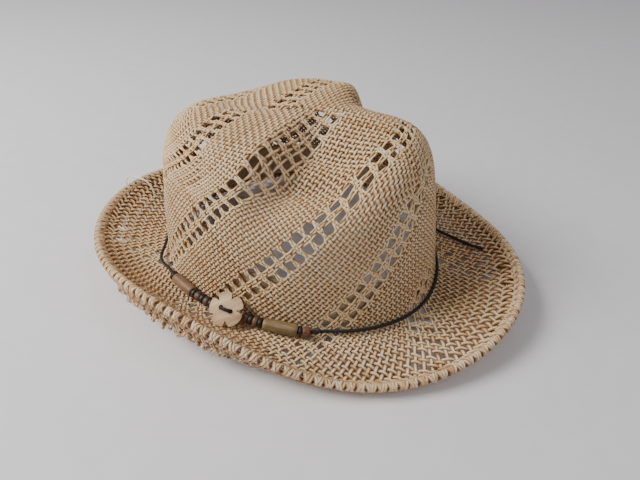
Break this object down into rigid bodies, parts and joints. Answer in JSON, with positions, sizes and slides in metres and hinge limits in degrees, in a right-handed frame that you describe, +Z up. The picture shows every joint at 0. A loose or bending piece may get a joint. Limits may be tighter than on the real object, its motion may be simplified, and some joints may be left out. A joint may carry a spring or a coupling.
{
  "type": "straw hat",
  "caption": "Woven straw hat with a pinched-front crown, curled brim, diagonal openwork stripes and a cord band strung with wooden beads and a flower button.",
  "frame": {"origin": "centre of the head opening, on the plane the hat rests on", "axes": "+Z up through the crown, -Y to the front of the hat, +X to the wearer's left"},
  "size_m": [0.251, 0.3252, 0.1171],
  "materials": {
    "straw": "matte woven paper straw",
    "straw_edge": "matte, coarse turned-back straw",
    "edge_wire": "drawn wire",
    "sweatband_cloth": "ribbed tan cotton",
    "thread": "sewing thread",
    "cord": "waxed twisted cord",
    "dark_wood": "stained, rubbed",
    "red_wood": "stained, rubbed",
    "black_wood": "stained black, rubbed",
    "light_wood": "polished, streaked",
    "coconut": "matte, grained",
    "filament": "clear white filament"
  },
  "bodies": {
    "hat": {"woven_hood": "straw", "brim_edge_roll": "straw_edge", "brim_wire": "edge_wire", "sweatband": "sweatband_cloth", "sweatband_stitches": "thread"},
    "band": {"hat_cord": "cord", "cord_knot": "cord", "flower_button": "coconut", "spacer_ring_1": "black_wood", "spacer_ring_2": "black_wood", "spacer_ring_3": "black_wood", "spacer_ring_4": "black_wood", "spacer_ring_5": "black_wood", "spacer_ring_6": "black_wood", "spacer_ring_7": "black_wood"},
    "small_bead_1_body": {"small_bead_1": "dark_wood"},
    "small_bead_2_body": {"small_bead_2": "dark_wood"},
    "small_bead_3_body": {"small_bead_3": "red_wood"},
    "small_bead_4_body": {"small_bead_4": "red_wood"},
    "small_bead_5_body": {"small_bead_5": "red_wood"},
    "tube_bead_back_body": {"tube_bead_back": "light_wood"},
    "tube_bead_front_body": {"tube_bead_front": "light_wood"},
    "loop": {"tag_loop": "filament"}
  },
  "joints": [
    {"name": "band_lift", "type": "slide", "parent": "hat", "child": "band", "axis": [0, 0, 1], "range_m": [0, 0.13]},
    {"name": "small_bead_1_spin", "type": "hinge", "parent": "band", "child": "small_bead_1_body", "pos_m": [-0.09228, 0.02165, 0.01877], "axis": [-0.1747, -0.9836, 0.0443], "continuous": true},
    {"name": "small_bead_2_spin", "type": "hinge", "parent": "band", "child": "small_bead_2_body", "pos_m": [-0.09339, 0.01404, 0.01905], "axis": [-0.113, -0.9932, 0.029], "continuous": true},
    {"name": "small_bead_3_spin", "type": "hinge", "parent": "band", "child": "small_bead_3_body", "pos_m": [-0.09324, -0.01528, 0.01901], "axis": [0.1231, -0.9919, -0.0316], "continuous": true},
    {"name": "small_bead_4_spin", "type": "hinge", "parent": "band", "child": "small_bead_4_body", "pos_m": [-0.09226, -0.0218, 0.01876], "axis": [0.176, -0.9834, -0.0446], "continuous": true},
    {"name": "small_bead_5_spin", "type": "hinge", "parent": "band", "child": "small_bead_5_body", "pos_m": [-0.08272, -0.05174, 0.01648], "axis": [0.4261, -0.8995, -0.0963], "continuous": true},
    {"name": "tube_bead_back_spin", "type": "hinge", "parent": "band", "child": "tube_bead_back_body", "pos_m": [-0.08785, 0.03757, 0.01769], "axis": [-0.3072, -0.9487, 0.074], "continuous": true},
    {"name": "tube_bead_front_spin", "type": "hinge", "parent": "band", "child": "tube_bead_front_body", "pos_m": [-0.0881, -0.03677, 0.01775], "axis": [0.3005, -0.951, -0.0726], "continuous": true},
    {"name": "tag_loop_swing", "type": "hinge", "parent": "hat", "child": "loop", "pos_m": [-0.01237, 0.13645, 0.00907], "axis": [0.1304, -0.3349, 0.9332], "range_deg": [-12, 12]}
  ]
}
